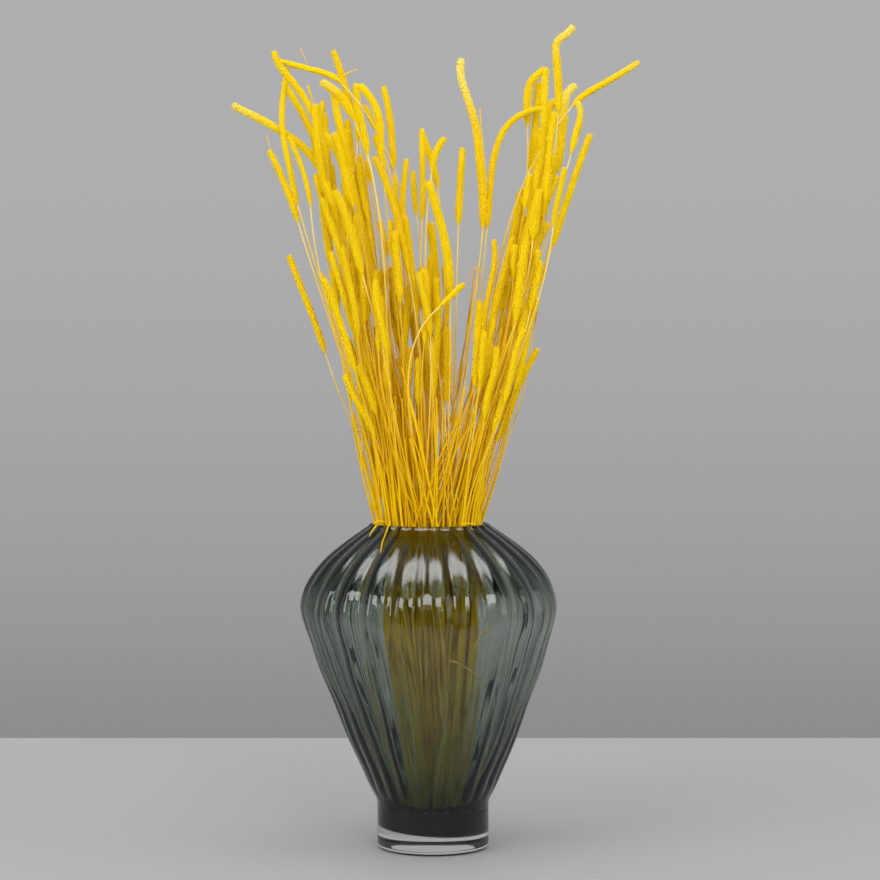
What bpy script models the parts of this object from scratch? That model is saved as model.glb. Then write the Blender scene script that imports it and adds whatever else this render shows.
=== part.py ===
"""Dried timothy grass in a ribbed smoked-glass vase.

Metres, +Z up, front towards -Y. The origin is the centre of the foot's underside.
Lengths in the tables are millimetres and angles are degrees.
"""
import math

import bpy
import numpy as np

MM = 0.001
GOLDEN_ANGLE = math.pi * (3.0 - math.sqrt(5.0))
COLLECTION_NAME = "timothy_grass_vase"

# ---- vase: radius and height of each ring, from the lip down -------------------------------
RIB_COUNT = 24
COLUMNS = 4 * RIB_COUNT             # a crest, a groove and a flank on each side of every rib
FIRST_CREST = 4.0                   # degrees from +X to the first crest
INSIDE_RINGS = [
    (29.5, 33.0), (37.5, 39.5), (77.0, 123.0), (100.5, 185.0), (103.0, 202.0), (96.5, 220.0),
    (68.0, 248.5), (46.8, 263.5), (46.8, 267.0),
]
OUTSIDE_RINGS = [
    (50.0, 269.0), (72.0, 254.0), (90.0, 238.5), (101.0, 223.0), (107.0, 202.0), (104.0, 184.0),
    (94.5, 155.0), (69.5, 89.0), (55.5, 58.0), (46.5, 39.5),
]
FOOT_RADIUS = 46.5
FOOT_STEPS = 48
SEAM_RINGS = [(0.0, 13.0), (30.0, 14.7), (46.5, 17.0)]   # the bowl bulges a little into the clear foot
FOOT_EDGE = 2.5                     # rounded edge round the underside
FUSED_GAP = 0.3                     # keeps the two glasses separate solids
FLOOR_HEIGHT = 33.0                 # inside of the bowl, where the stems stand

# groove depth by height: none on the foot, deepest on the shoulder, shallow at the lip
GROOVE_HEIGHTS = (40.0, 60.0, 103.0, 153.0, 203.0, 243.0, 269.0)
GROOVE_DEPTHS = (0.0, 1.4, 2.6, 3.3, 3.6, 3.6, 1.8)
GROOVE_PINCH = 0.5                  # 0 for a plain wave, 1 for narrow grooves and broad crests

# hand blown: the bowl leans to its left above the foot
LEAN_FROM, LEAN_TO, LEAN_SHIFT = 63.0, 203.0, -3.0

# ---- stalks --------------------------------------------------------------------------------
TUBE_SIDES_SETTING = 1              # bevel resolution that gives six sides
STEM_RADIUS = 1.0
STEM_POINTS = 4                     # points on a stem, from its cut end to below the spike
SPIKE_POINTS = 5                    # on a straight spike; one that bends has more
SPIKE_SHAPE = (0.45, 0.92, 1.0, 1.0, 0.9, 0.4)   # spike thickness along its length
CHECK_POINTS = 40                   # finer points used to keep the stalks apart
CLEARANCE = 0.6
MOUTH_HEIGHT = 269.0
FAN_HEIGHT = 93.0                   # the stalks fan out from about this height on the axis
MOUTH_LIMIT = 43.0                  # how far from the axis a stem may pass the mouth
MOUTH_SCATTER = 9.0                 # and how far it may pass from its place in an even fan
FOOT_SHRINK = 0.62                  # cut ends stand closer together than the stems do in the mouth
FOOT_TURN = 38.0                    # degrees a cut end may stand round the floor, to either side
CUT_END_HEIGHT = FLOOR_HEIGHT + 0.8
FREE_BACK = 25.0                    # the back of the mouth stays free of stems
DEPTH_STEP = 4.0
DEPTH_TRIES = 40                    # depths tried, going away from the wanted one to either side
PASS_TRIES = 10                     # places in the mouth tried at each depth

# Each stalk: x and height of the foot of its spike, spike length and radius, wanted depth (front
# is negative), and the lean of the spike from its foot to its tip (right is positive).
LEFT_STALKS = [
    (-90, 554, 103, 3.3, 10, (-13, -38, -53, -59, -64, -61)),
    (-98, 604, 65, 2.9, -14, (-16, -35, -42, -13)),
    (-112, 534, 116, 2.5, 4, (-16, -10, -13, -3, 10, 3)),
    (-98, 587, 58, 2.9, 22, (-21, -26, -32, -34)),
    (-110, 518, 64, 2.7, -30, (-16, -22, -27)),
    (-99, 530, 60, 2.1, -50, (-4, -15, -21, -29)),
    (-75, 634, 57, 2.5, 0, (-45, -70, -76, -76, -72)),
    (-67, 609, 60, 2.9, 40, (-13, -17, -20)),
    (-64, 601, 42, 3.7, -36, (-22, -33, -48, -62)),
    (-95, 595, 31, 2.3, 60, (7, 1, -5)),
    (-87, 538, 78, 3.7, -22, (-9, -8, 0)),
    (-86, 486, 77, 3.3, 36, (-7, -8, -4)),
    (-63, 587, 49, 3.1, 16, (4, 1, -7, 0)),
    (-42, 569, 66, 3.3, -30, (-5, -1, -3, -17, -35, -50)),
    (-48, 598, 25, 2.5, 45, (-22, -24, -32)),
    (-33, 562, 71, 2.9, 5, (0, -4, -8, -16)),
    (-57, 475, 72, 3.3, -55, (-15, -15, -27)),
    (-70, 567, 62, 3.3, 28, (-11, -14, -6)),
    (-57, 512, 51, 2.5, 62, (5, -1, -8)),
    (-52, 571, 36, 3.3, -64, (-13, -11, -12)),
    (-89, 411, 87, 2.7, -6, (-17, -22, -20)),
    (-83, 447, 31, 2.7, -30, (-19, -16, -14)),
    (-70, 526, 68, 2.9, -40, (0, -4, -23, -37)),
]
MIDDLE_STALKS = [
    (-20, 478, 98, 2.9, -40, (-11, -12, -18, -30)),
    (-38, 492, 31, 2.5, 20, (-8, -13, -18)),
    (-23, 508, 63, 2.5, -20, (-9, -1, 7, 4)),
    (-14, 527, 38, 2.5, 44, (-7, -4, -4)),
    (-9, 520, 76, 2.5, -12, (3, -1, -1)),
    (4, 548, 50, 2.9, 12, (-8, -13, -22, -19)),
    (-1, 558, 31, 2.9, -40, (9, 11, 27, 42)),
    (14, 459, 95, 3.7, -32, (0, -8, -16, -17)),
    (4, 430, 91, 3.7, 8, (-2, -3, -8)),
    (21, 517, 64, 2.9, -4, (2, 3, 5)),
    (-2, 425, 54, 2.9, -44, (-4, -13, -11)),
    (5, 449, 28, 2.5, -58, (51, 45, 49)),
    (11, 371, 62, 3.7, -20, (4, 0, 0)),
]
RIGHT_STALKS = [
    (41, 514, 143, 3.3, -8, (4, -3, -6, -5, -17, -20, 14)),
    (45, 515, 127, 2.7, 18, (5, 4, 7, 21, 59, 90)),
    (79, 601, 55, 3.3, 26, (-3, 0, 2, 14, 49, 51)),
    (84, 543, 102, 3.1, -26, (8, 14, 2, -1, 2, 4)),
    (104, 610, 79, 3.3, 8, (3, -1, -3, -4, -6, 62, 25)),
    (103, 562, 80, 3.9, 42, (14, 9, 5, 2, 14, 63)),
    (114, 614, 67, 2.7, -10, (41, 61, 60, 56)),
    (112, 573, 44, 2.7, -44, (14, 13, 16, 15, -4, -30)),
    (98, 498, 100, 2.9, -4, (18, 18, 21)),
    (81, 504, 37, 3.7, -50, (4, 7, 8)),
    (63, 475, 68, 3.3, 24, (0, 12, 10)),
    (97, 513, 49, 2.5, -62, (6, 13, 11)),
    (66, 430, 68, 3.3, -24, (9, 13, 11)),
    (94, 579, 49, 3.7, 60, (4, 6, 6, 39)),
    (86, 529, 47, 3.3, 4, (8, 8, 11, 22)),
    (93, 532, 45, 3.3, 40, (14, 11, 10)),
    (79, 446, 41, 3.3, -44, (11, 14, 9)),
    (41, 425, 81, 2.5, -16, (4, 10, 12, -10)),
    (40, 392, 49, 2.9, -34, (11, 11, 13)),
]

# Three slim bundles stand for the stalks hidden in the thick of the bunch. Each point: x, y,
# height, radius.
BUNDLES = {
    "inner_stalks_left": [
        (-13, 5, 34.5, 3), (-23, 13, 269, 4), (-44, 30, 403, 6), (-66, 44, 503, 8), (-82, 52, 573, 7),
        (-90, 56, 613, 3),
    ],
    "inner_stalks_middle": [
        (0, 10, 34.5, 3), (-1, 20, 269, 4), (-3, 31, 353, 6), (-6, 42, 443, 8), (-9, 48, 503, 7),
        (-10, 52, 543, 3),
    ],
    "inner_stalks_right": [
        (13, 5, 34.5, 3), (22, 12, 269, 4), (48, 22, 403, 6), (70, 30, 493, 8), (88, 36, 573, 7),
        (97, 40, 613, 3),
    ],
}

MATERIALS = {
    "smoked_glass": ((0.075, 0.090, 0.082), 0.08),
    "clear_glass": ((0.72, 0.77, 0.78), 0.05),
    "dried_grass": ((0.74, 0.47, 0.045), 0.85),
}


def clear_scene():
    for obj in list(bpy.data.objects):
        bpy.data.objects.remove(obj, do_unlink=True)


def make_collection(name):
    collection = bpy.data.collections.new(name)
    bpy.context.scene.collection.children.link(collection)
    return collection


def make_material(name, colour, roughness):
    material = bpy.data.materials.new(name)
    material.use_nodes = True
    material.diffuse_color = (*colour, 1.0)
    shader = material.node_tree.nodes["Principled BSDF"]
    shader.inputs["Base Color"].default_value = (*colour, 1.0)
    shader.inputs["Roughness"].default_value = roughness
    shader.inputs["Metallic"].default_value = 0.0
    return material


def apply_modifiers(obj):
    """Replace the object's data by what its modifiers make of it."""
    graph = bpy.context.evaluated_depsgraph_get()
    mesh = bpy.data.meshes.new_from_object(obj.evaluated_get(graph))
    obj.modifiers.clear()
    obj.data = mesh


def turned(name, profile, steps, collection):
    """A closed solid turned about Z from (radius, height) points that run down its outer side."""
    mesh = bpy.data.meshes.new(name)
    edges = [(i, i + 1) for i in range(len(profile) - 1)]
    mesh.from_pydata([(r * MM, 0.0, z * MM) for r, z in profile], edges, [])
    obj = bpy.data.objects.new(name, mesh)
    collection.objects.link(obj)
    screw = obj.modifiers.new("turn", "SCREW")
    screw.axis = "Z"
    screw.angle = math.tau
    screw.steps = steps
    screw.render_steps = steps
    screw.use_merge_vertices = True
    screw.merge_threshold = 0.00005
    apply_modifiers(obj)
    return obj


def lean_shift(height):
    """How far the bowl stands off the axis of its foot at a height, in millimetres."""
    t = min(max((height - LEAN_FROM) / (LEAN_TO - LEAN_FROM), 0.0), 1.0)
    return LEAN_SHIFT * t * t * (3.0 - 2.0 * t)


def flute(mesh):
    """Press soft waves into both sides of the wall, and lean the bowl over its foot."""
    for vertex in mesh.vertices:
        height = vertex.co.z / MM
        radius = math.hypot(vertex.co.x, vertex.co.y) / MM
        angle = math.atan2(vertex.co.y, vertex.co.x)
        wave = 0.5 - 0.5 * math.cos(RIB_COUNT * angle)
        wave *= 1.0 - GROOVE_PINCH * (1.0 - wave)
        radius -= float(np.interp(height, GROOVE_HEIGHTS, GROOVE_DEPTHS)) * wave
        angle += math.radians(FIRST_CREST)
        vertex.co.x = (radius * math.cos(angle) + lean_shift(height)) * MM
        vertex.co.y = radius * math.sin(angle) * MM


def build_vase(collection):
    bowl_profile = [(0.0, FLOOR_HEIGHT)] + INSIDE_RINGS + OUTSIDE_RINGS
    bowl_profile += [(radius, height + FUSED_GAP) for radius, height in reversed(SEAM_RINGS)]
    bowl = turned("vase_bowl", bowl_profile, COLUMNS, collection)
    flute(bowl.data)
    foot_profile = SEAM_RINGS + [
        (FOOT_RADIUS, FOOT_EDGE), (FOOT_RADIUS - FOOT_EDGE, 0.0), (0.0, 0.0),
    ]
    foot = turned("vase_foot", foot_profile, FOOT_STEPS, collection)
    return bowl, foot


def stalk_line(stalk, depth, scatter, stem_points, spike_points):
    """Centreline of a stalk: straight through the vase, an easy bend, then the spike.

    The scatter is an angle that says on which side of its place in an even fan the stem passes
    the mouth, and how far round the floor its cut end stands.
    """
    x, z, length, _radius, _wanted, leans = stalk
    foot_of_spike = np.array([x, depth, z], dtype=float)
    narrowing = (MOUTH_HEIGHT - FAN_HEIGHT) / (z - FAN_HEIGHT)
    across = x * narrowing + MOUTH_SCATTER * math.cos(scatter)
    back = depth * narrowing + MOUTH_SCATTER * math.sin(scatter)
    inward = min(1.0, MOUTH_LIMIT / max(math.hypot(across, back), 1.0))
    across, back = across * inward, back * inward
    mouth = np.array([across + lean_shift(MOUTH_HEIGHT), back, MOUTH_HEIGHT])
    turn = math.radians(FOOT_TURN) * math.sin(2.0 * scatter)
    cut_end = np.array([
        FOOT_SHRINK * (across * math.cos(turn) - back * math.sin(turn)),
        FOOT_SHRINK * (across * math.sin(turn) + back * math.cos(turn)),
        CUT_END_HEIGHT,
    ])

    depth_lean = math.atan2(depth, z - FAN_HEIGHT)
    steps = max(spike_points - 1, 1)
    spike = [foot_of_spike]
    for i in range(steps):
        angle = math.radians(np.interp((i + 0.5) / steps, np.linspace(0.0, 1.0, len(leans)), leans))
        way = np.array([math.sin(angle), math.sin(depth_lean), math.cos(angle)])
        spike.append(spike[-1] + way / np.linalg.norm(way) * length / steps)

    start = (mouth - cut_end) / np.linalg.norm(mouth - cut_end)
    first = math.radians(leans[0])
    end = np.array([math.sin(first), math.sin(depth_lean), math.cos(first)])
    end /= np.linalg.norm(end)
    span = np.linalg.norm(foot_of_spike - mouth)
    stem = [cut_end]
    for i in range(stem_points - 1):
        t = i / (stem_points - 1)
        stem.append(
            (2 * t**3 - 3 * t**2 + 1) * mouth
            + (t**3 - 2 * t**2 + t) * span * start
            + (3 * t**2 - 2 * t**3) * foot_of_spike
            + (t**3 - t**2) * span * end
        )
    return np.array(stem), np.array(spike)


def stalk_radii(stem, spike, radius):
    along = np.linspace(0.0, 1.0, len(spike))
    shape = np.interp(along, np.linspace(0.0, 1.0, len(SPIKE_SHAPE)), SPIKE_SHAPE)
    return np.concatenate([np.full(len(stem), STEM_RADIUS), shape * radius])


def even_points(points, radii, count):
    """The same line with evenly spaced points, and its radius at each of them."""
    run = np.concatenate([[0.0], np.cumsum(np.linalg.norm(np.diff(points, axis=0), axis=1))])
    at = np.linspace(0.0, run[-1], count)
    line = np.stack([np.interp(at, run, points[:, k]) for k in range(3)], axis=1)
    return line, np.interp(at, run, radii)


def segment_gap(line_a, radii_a, line_b, radii_b):
    """Smallest gap between two tubes, segment against segment."""
    p, u = line_a[:-1, None], np.diff(line_a, axis=0)[:, None]
    q, v = line_b[None, :-1], np.diff(line_b, axis=0)[None, :]
    w = p - q
    a, b, c = (u * u).sum(-1), (u * v).sum(-1), (v * v).sum(-1)
    d, e = (u * w).sum(-1), (v * w).sum(-1)
    denominator = np.maximum(a * c - b * b, 1e-9)
    s = np.clip((b * e - c * d) / denominator, 0.0, 1.0)
    t = np.clip((b * s + e) / c, 0.0, 1.0)
    s = np.clip((b * t - d) / a, 0.0, 1.0)
    away = np.linalg.norm(w + s[..., None] * u - t[..., None] * v, axis=-1)
    widest_a = np.maximum(radii_a[:-1], radii_a[1:])[:, None]
    widest_b = np.maximum(radii_b[:-1], radii_b[1:])[None, :]
    return float((away - widest_a - widest_b).min())


def place_stalk(stalk, placed):
    """The first try at which the stalk is clear of those placed before it."""
    x, z, _length, radius, wanted, leans = stalk
    for k in range(DEPTH_TRIES * PASS_TRIES):
        away, side = (k // PASS_TRIES + 1) // 2, 1 if k // PASS_TRIES % 2 else -1
        depth = wanted + DEPTH_STEP * away * side
        scatter = x + z + GOLDEN_ANGLE * k
        stem, spike = stalk_line(stalk, depth, scatter, STEM_POINTS, max(SPIKE_POINTS, len(leans) + 1))
        if stem[1][1] > FREE_BACK:
            continue
        # the spike's first point is the stem's last one
        points = np.concatenate([stem[:-1], spike])
        radii = stalk_radii(stem[:-1], spike, radius)
        line = even_points(points, radii, CHECK_POINTS)
        if all(segment_gap(*line, *other) > CLEARANCE for other in placed):
            placed.append(line)
            return points, radii
    raise ValueError(f"no free place for the stalk at x {x}, height {z}")


def tube(name, points, radii, material, collection):
    """A closed tube through the points, with a radius at each of them."""
    curve = bpy.data.curves.new(name, "CURVE")
    curve.dimensions = "3D"
    curve.bevel_depth = MM
    curve.bevel_resolution = TUBE_SIDES_SETTING
    curve.use_fill_caps = True
    spline = curve.splines.new("POLY")
    spline.points.add(len(points) - 1)
    for point, place, radius in zip(spline.points, points, radii):
        point.co = (*(float(value) * MM for value in place), 1.0)
        point.radius = float(radius)
    obj = bpy.data.objects.new(name, curve)
    collection.objects.link(obj)
    graph = bpy.context.evaluated_depsgraph_get()
    mesh = bpy.data.meshes.new_from_object(obj.evaluated_get(graph))
    bpy.data.objects.remove(obj, do_unlink=True)
    obj = bpy.data.objects.new(name, mesh)
    collection.objects.link(obj)
    weld = obj.modifiers.new("weld", "WELD")
    weld.merge_threshold = 0.00001
    apply_modifiers(obj)
    obj.data.materials.clear()
    obj.data.materials.append(material)
    return obj


def build_grass(material, collection):
    placed = []
    for name, rings in BUNDLES.items():
        rings = np.array(rings, dtype=float)
        placed.append(even_points(rings[:, :3], rings[:, 3], CHECK_POINTS))
        tube(name, rings[:, :3], rings[:, 3], material, collection)
    for side, stalks in (("left", LEFT_STALKS), ("middle", MIDDLE_STALKS), ("right", RIGHT_STALKS)):
        for number, stalk in enumerate(stalks, start=1):
            points, radii = place_stalk(stalk, placed)
            tube(f"stalk_{side}_{number:02d}", points, radii, material, collection)


def main():
    clear_scene()
    collection = make_collection(COLLECTION_NAME)
    materials = {name: make_material(name, *values) for name, values in MATERIALS.items()}
    bowl, foot = build_vase(collection)
    bowl.data.materials.append(materials["smoked_glass"])
    foot.data.materials.append(materials["clear_glass"])
    build_grass(materials["dried_grass"], collection)


main()
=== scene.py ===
"""Dried timothy grass in a ribbed smoked-glass vase: the detailed visual model.

The layout tables and rules are in millimetres and degrees, like the solids' own, so each
detailed stalk grows along the same line as the solid it stands for.
"""
import math

import bpy
import numpy as np
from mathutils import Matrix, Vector


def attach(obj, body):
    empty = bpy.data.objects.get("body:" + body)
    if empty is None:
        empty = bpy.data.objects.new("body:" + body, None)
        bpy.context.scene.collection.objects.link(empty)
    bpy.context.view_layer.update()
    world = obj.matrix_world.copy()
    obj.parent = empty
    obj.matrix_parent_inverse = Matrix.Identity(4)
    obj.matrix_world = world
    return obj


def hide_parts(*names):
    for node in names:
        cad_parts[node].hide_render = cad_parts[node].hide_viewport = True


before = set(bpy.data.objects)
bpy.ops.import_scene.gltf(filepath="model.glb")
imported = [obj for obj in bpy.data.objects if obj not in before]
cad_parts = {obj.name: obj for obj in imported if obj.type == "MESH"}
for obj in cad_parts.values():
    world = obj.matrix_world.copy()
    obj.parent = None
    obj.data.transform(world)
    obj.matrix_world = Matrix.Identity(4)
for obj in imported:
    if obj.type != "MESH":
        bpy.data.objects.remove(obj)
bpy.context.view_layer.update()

MM = 0.001
GOLDEN_ANGLE = math.pi * (3.0 - math.sqrt(5.0))

# ---- layout shared with the solids -----------------------------------------------------------
LEAN_FROM, LEAN_TO, LEAN_SHIFT = 63.0, 203.0, -3.0
STEM_RADIUS = 1.0
STEM_POINTS = 4
SPIKE_POINTS = 5
SPIKE_SHAPE = (0.45, 0.92, 1.0, 1.0, 0.9, 0.4)
CHECK_POINTS = 40
CLEARANCE = 0.6
MOUTH_HEIGHT = 269.0
FAN_HEIGHT = 93.0
MOUTH_LIMIT = 43.0
MOUTH_SCATTER = 9.0
FOOT_SHRINK = 0.62
FOOT_TURN = 38.0
FLOOR_HEIGHT = 33.0
CUT_END_HEIGHT = FLOOR_HEIGHT + 0.8
FREE_BACK = 25.0
DEPTH_STEP = 4.0
DEPTH_TRIES = 40
PASS_TRIES = 10

# x and height of the foot of the spike, spike length and radius, wanted depth, leans foot to tip
LEFT_STALKS = [
    (-90, 554, 103, 3.3, 10, (-13, -38, -53, -59, -64, -61)),
    (-98, 604, 65, 2.9, -14, (-16, -35, -42, -13)),
    (-112, 534, 116, 2.5, 4, (-16, -10, -13, -3, 10, 3)),
    (-98, 587, 58, 2.9, 22, (-21, -26, -32, -34)),
    (-110, 518, 64, 2.7, -30, (-16, -22, -27)),
    (-99, 530, 60, 2.1, -50, (-4, -15, -21, -29)),
    (-75, 634, 57, 2.5, 0, (-45, -70, -76, -76, -72)),
    (-67, 609, 60, 2.9, 40, (-13, -17, -20)),
    (-64, 601, 42, 3.7, -36, (-22, -33, -48, -62)),
    (-95, 595, 31, 2.3, 60, (7, 1, -5)),
    (-87, 538, 78, 3.7, -22, (-9, -8, 0)),
    (-86, 486, 77, 3.3, 36, (-7, -8, -4)),
    (-63, 587, 49, 3.1, 16, (4, 1, -7, 0)),
    (-42, 569, 66, 3.3, -30, (-5, -1, -3, -17, -35, -50)),
    (-48, 598, 25, 2.5, 45, (-22, -24, -32)),
    (-33, 562, 71, 2.9, 5, (0, -4, -8, -16)),
    (-57, 475, 72, 3.3, -55, (-15, -15, -27)),
    (-70, 567, 62, 3.3, 28, (-11, -14, -6)),
    (-57, 512, 51, 2.5, 62, (5, -1, -8)),
    (-52, 571, 36, 3.3, -64, (-13, -11, -12)),
    (-89, 411, 87, 2.7, -6, (-17, -22, -20)),
    (-83, 447, 31, 2.7, -30, (-19, -16, -14)),
    (-70, 526, 68, 2.9, -40, (0, -4, -23, -37)),
]
MIDDLE_STALKS = [
    (-20, 478, 98, 2.9, -40, (-11, -12, -18, -30)),
    (-38, 492, 31, 2.5, 20, (-8, -13, -18)),
    (-23, 508, 63, 2.5, -20, (-9, -1, 7, 4)),
    (-14, 527, 38, 2.5, 44, (-7, -4, -4)),
    (-9, 520, 76, 2.5, -12, (3, -1, -1)),
    (4, 548, 50, 2.9, 12, (-8, -13, -22, -19)),
    (-1, 558, 31, 2.9, -40, (9, 11, 27, 42)),
    (14, 459, 95, 3.7, -32, (0, -8, -16, -17)),
    (4, 430, 91, 3.7, 8, (-2, -3, -8)),
    (21, 517, 64, 2.9, -4, (2, 3, 5)),
    (-2, 425, 54, 2.9, -44, (-4, -13, -11)),
    (5, 449, 28, 2.5, -58, (51, 45, 49)),
    (11, 371, 62, 3.7, -20, (4, 0, 0)),
]
RIGHT_STALKS = [
    (41, 514, 143, 3.3, -8, (4, -3, -6, -5, -17, -20, 14)),
    (45, 515, 127, 2.7, 18, (5, 4, 7, 21, 59, 90)),
    (79, 601, 55, 3.3, 26, (-3, 0, 2, 14, 49, 51)),
    (84, 543, 102, 3.1, -26, (8, 14, 2, -1, 2, 4)),
    (104, 610, 79, 3.3, 8, (3, -1, -3, -4, -6, 62, 25)),
    (103, 562, 80, 3.9, 42, (14, 9, 5, 2, 14, 63)),
    (114, 614, 67, 2.7, -10, (41, 61, 60, 56)),
    (112, 573, 44, 2.7, -44, (14, 13, 16, 15, -4, -30)),
    (98, 498, 100, 2.9, -4, (18, 18, 21)),
    (81, 504, 37, 3.7, -50, (4, 7, 8)),
    (63, 475, 68, 3.3, 24, (0, 12, 10)),
    (97, 513, 49, 2.5, -62, (6, 13, 11)),
    (66, 430, 68, 3.3, -24, (9, 13, 11)),
    (94, 579, 49, 3.7, 60, (4, 6, 6, 39)),
    (86, 529, 47, 3.3, 4, (8, 8, 11, 22)),
    (93, 532, 45, 3.3, 40, (14, 11, 10)),
    (79, 446, 41, 3.3, -44, (11, 14, 9)),
    (41, 425, 81, 2.5, -16, (4, 10, 12, -10)),
    (40, 392, 49, 2.9, -34, (11, 11, 13)),
]

# The solids that stand for the thick of the bunch: x, y, height and radius of each point.
BUNDLES = {
    "inner_stalks_left": [
        (-13, 5, 34.5, 3), (-23, 13, 269, 4), (-44, 30, 403, 6), (-66, 44, 503, 8), (-82, 52, 573, 7),
        (-90, 56, 613, 3),
    ],
    "inner_stalks_middle": [
        (0, 10, 34.5, 3), (-1, 20, 269, 4), (-3, 31, 353, 6), (-6, 42, 443, 8), (-9, 48, 503, 7),
        (-10, 52, 543, 3),
    ],
    "inner_stalks_right": [
        (13, 5, 34.5, 3), (22, 12, 269, 4), (48, 22, 403, 6), (70, 30, 493, 8), (88, 36, 573, 7),
        (97, 40, 613, 3),
    ],
}

# Stalks of the inner bundles that still show: bundle, then the same values as above.
SHOWING_INNER_STALKS = [
    ("inner_stalks_left", (-52, 552, 21, 2.5, 20, (-9, -9, -9))),
    ("inner_stalks_left", (-39, 562, 30, 2.5, -10, (-18, -17, -18))),
    ("inner_stalks_left", (-77, 448, 34, 2.9, -24, (-13, -8, -9))),
    ("inner_stalks_middle", (-29, 525, 37, 2.5, 40, (-8, -9, -4, 4))),
    ("inner_stalks_middle", (-33, 488, 32, 2.5, -30, (-3, -3, -3))),
    ("inner_stalks_middle", (0, 376, 45, 2.9, -36, (4, 1, -9))),
    ("inner_stalks_right", (66, 475, 25, 3.3, -30, (4, 2, 0))),
    ("inner_stalks_right", (75, 529, 30, 2.9, -16, (9, 9, 13))),
    ("inner_stalks_right", (34, 384, 71, 3.3, -40, (5, 2, 4))),
    ("inner_stalks_middle", (-13, 442, 82, 3.7, -30, (-8, -7, -6))),
    ("inner_stalks_right", (80, 562, 78, 3.3, 30, (12, 5, 4))),
    ("inner_stalks_right", (104, 566, 50, 2.9, 20, (10, 12, 8))),
    ("inner_stalks_left", (-67, 566, 42, 3.3, 30, (-8, -8, -4))),
]

# How the hidden stalks are spread: bundle, how many, then the spans of x, of the height of the
# spike's foot and of depth. The spans of x and depth hold at the upper height and narrow below it.
HIDDEN_STALKS = [
    ("inner_stalks_left", 60, (-90, -56), (420, 545), (-62, 60)),
    ("inner_stalks_left", 50, (-76, -26), (335, 440), (-62, 60)),
    ("inner_stalks_middle", 26, (-28, 9), (335, 460), (-50, 50)),
    ("inner_stalks_right", 50, (72, 94), (420, 530), (-62, 56)),
    ("inner_stalks_right", 44, (42, 80), (335, 420), (-62, 56)),
]
SHOWING_CLEARANCE = 0.0
HIDDEN_CLEARANCE = -1.2
HIDDEN_CHECK_POINTS = 22
HIDDEN_TRIES = 9
HIDDEN_LENGTHS, HIDDEN_RADII = (38.0, 92.0), (2.5, 3.7)
HIDDEN_LEAN_SPREADS = (5.0, 5.0, 7.0)

# Bare straws, whose heads have broken off or stand further back: bundle, how many, span of x
# across the mouth and, at STRAW_TOP, between the gaps of the bunch.
BARE_STRAWS = [
    ("inner_stalks_left", 60, (-46, 8), (-80, -32)),
    ("inner_stalks_middle", 28, (-30, 24), (-21, 8)),
    ("inner_stalks_right", 64, (-10, 43), (32, 79)),
]
STRAW_TOP = 430.0
STRAW_TOPS = (330.0, 450.0)
# how far a straw's top strays from its place: as a share of the span, and in depth
STRAW_STRAY, STRAW_DEPTH_STRAY = 0.22, 9.0
STRAW_DEPTH_FAN = 1.5
STRAW_BOW = 3.5
# its cut end: how far round the floor it may stand, in radians, and how far in
STRAW_TURN, STRAW_SHRINK = 0.9, (0.25, 0.62)
THIN_STRAW_SHARE = 0.3
THIN_STRAW_RADII, THICK_STRAW_RADII = (0.4, 0.6), (0.8, 1.35)
LAYOUT_SEED = 11

# Single straws, awns, crumbs and scraps of leaf by bundle: x, y and height of the points, radius.
LOOSE_BITS = {
    "inner_stalks_left": [
        ([(-138, 4, 592), (-136, 4, 585), (-134, 4, 577)], 0.3),
        ([(-110, 10, 664), (-107, 10, 658), (-105, 10, 652)], 0.3),
        ([(-103, -8, 632), (-101, -8, 625), (-98, -8, 616)], 0.8),
        ([(-74, -20, 638), (-68, -20, 642), (-62, -20, 644)], 0.7),
        ([(-43, -50, 453), (-41, -50, 455), (-39, -50, 453)], 0.6),
        ([(-48, -34, 272), (-44, -36, 275), (-39, -38, 274)], 0.6),
        ([(-46, -33, 271), (-50, -36, 266), (-52, -40, 262)], 0.6),
        ([(-35, -36, 274), (-38, -42, 266), (-41, -55, 259), (-42, -68, 251)], 0.5),
        ([(-50, -4, 90), (-44, -8, 75), (-38, -10, 60), (-33, -10, 47)], 1.4),
    ],
    "inner_stalks_middle": [
        ([(27, -50, 469), (31, -50, 475), (34, -50, 482)], 0.3),
        ([(26, -52, 367), (30, -52, 363), (35, -52, 361)], 0.4),
        ([(18, -42, 296), (20, -42, 294), (20, -42, 291)], 0.5),
    ],
    "inner_stalks_right": [
        ([(39, 20, 616), (41, 20, 590), (44, 18, 546), (40, 14, 480), (28, 6, 340)], 0.4),
        ([(37, 0, 475), (27, 0, 424), (18, 0, 373), (10, 0, 269)], 0.6),
        ([(34, 4, 480), (28, 4, 430), (22, 4, 380), (12, 4, 269)], 0.5),
        ([(96, -8, 500), (86, -8, 446), (73, -8, 376), (48, -6, 292), (40, -6, 269)], 0.5),
        ([(33, -40, 481), (37, -40, 480), (40, -40, 477)], 0.5),
        ([(54, -50, 382), (56, -50, 380), (58, -50, 377)], 0.5),
        ([(24, -40, 272), (30, -40, 273), (35, -40, 272)], 0.6),
        ([(33, -30, 170), (37, -32, 176), (41, -34, 182), (45, -34, 190)], 0.8),
        ([(14, -40, 160), (22, -40, 158), (32, -38, 150), (39, -36, 139)], 0.7),
    ],
}

# ---- sizes of the vase -------------------------------------------------------------------------
RIB_COUNT = 24
COLUMNS_PER_RIB = 14
RING_SPACING = 4.0
FIRST_CREST = 4.0
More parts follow.
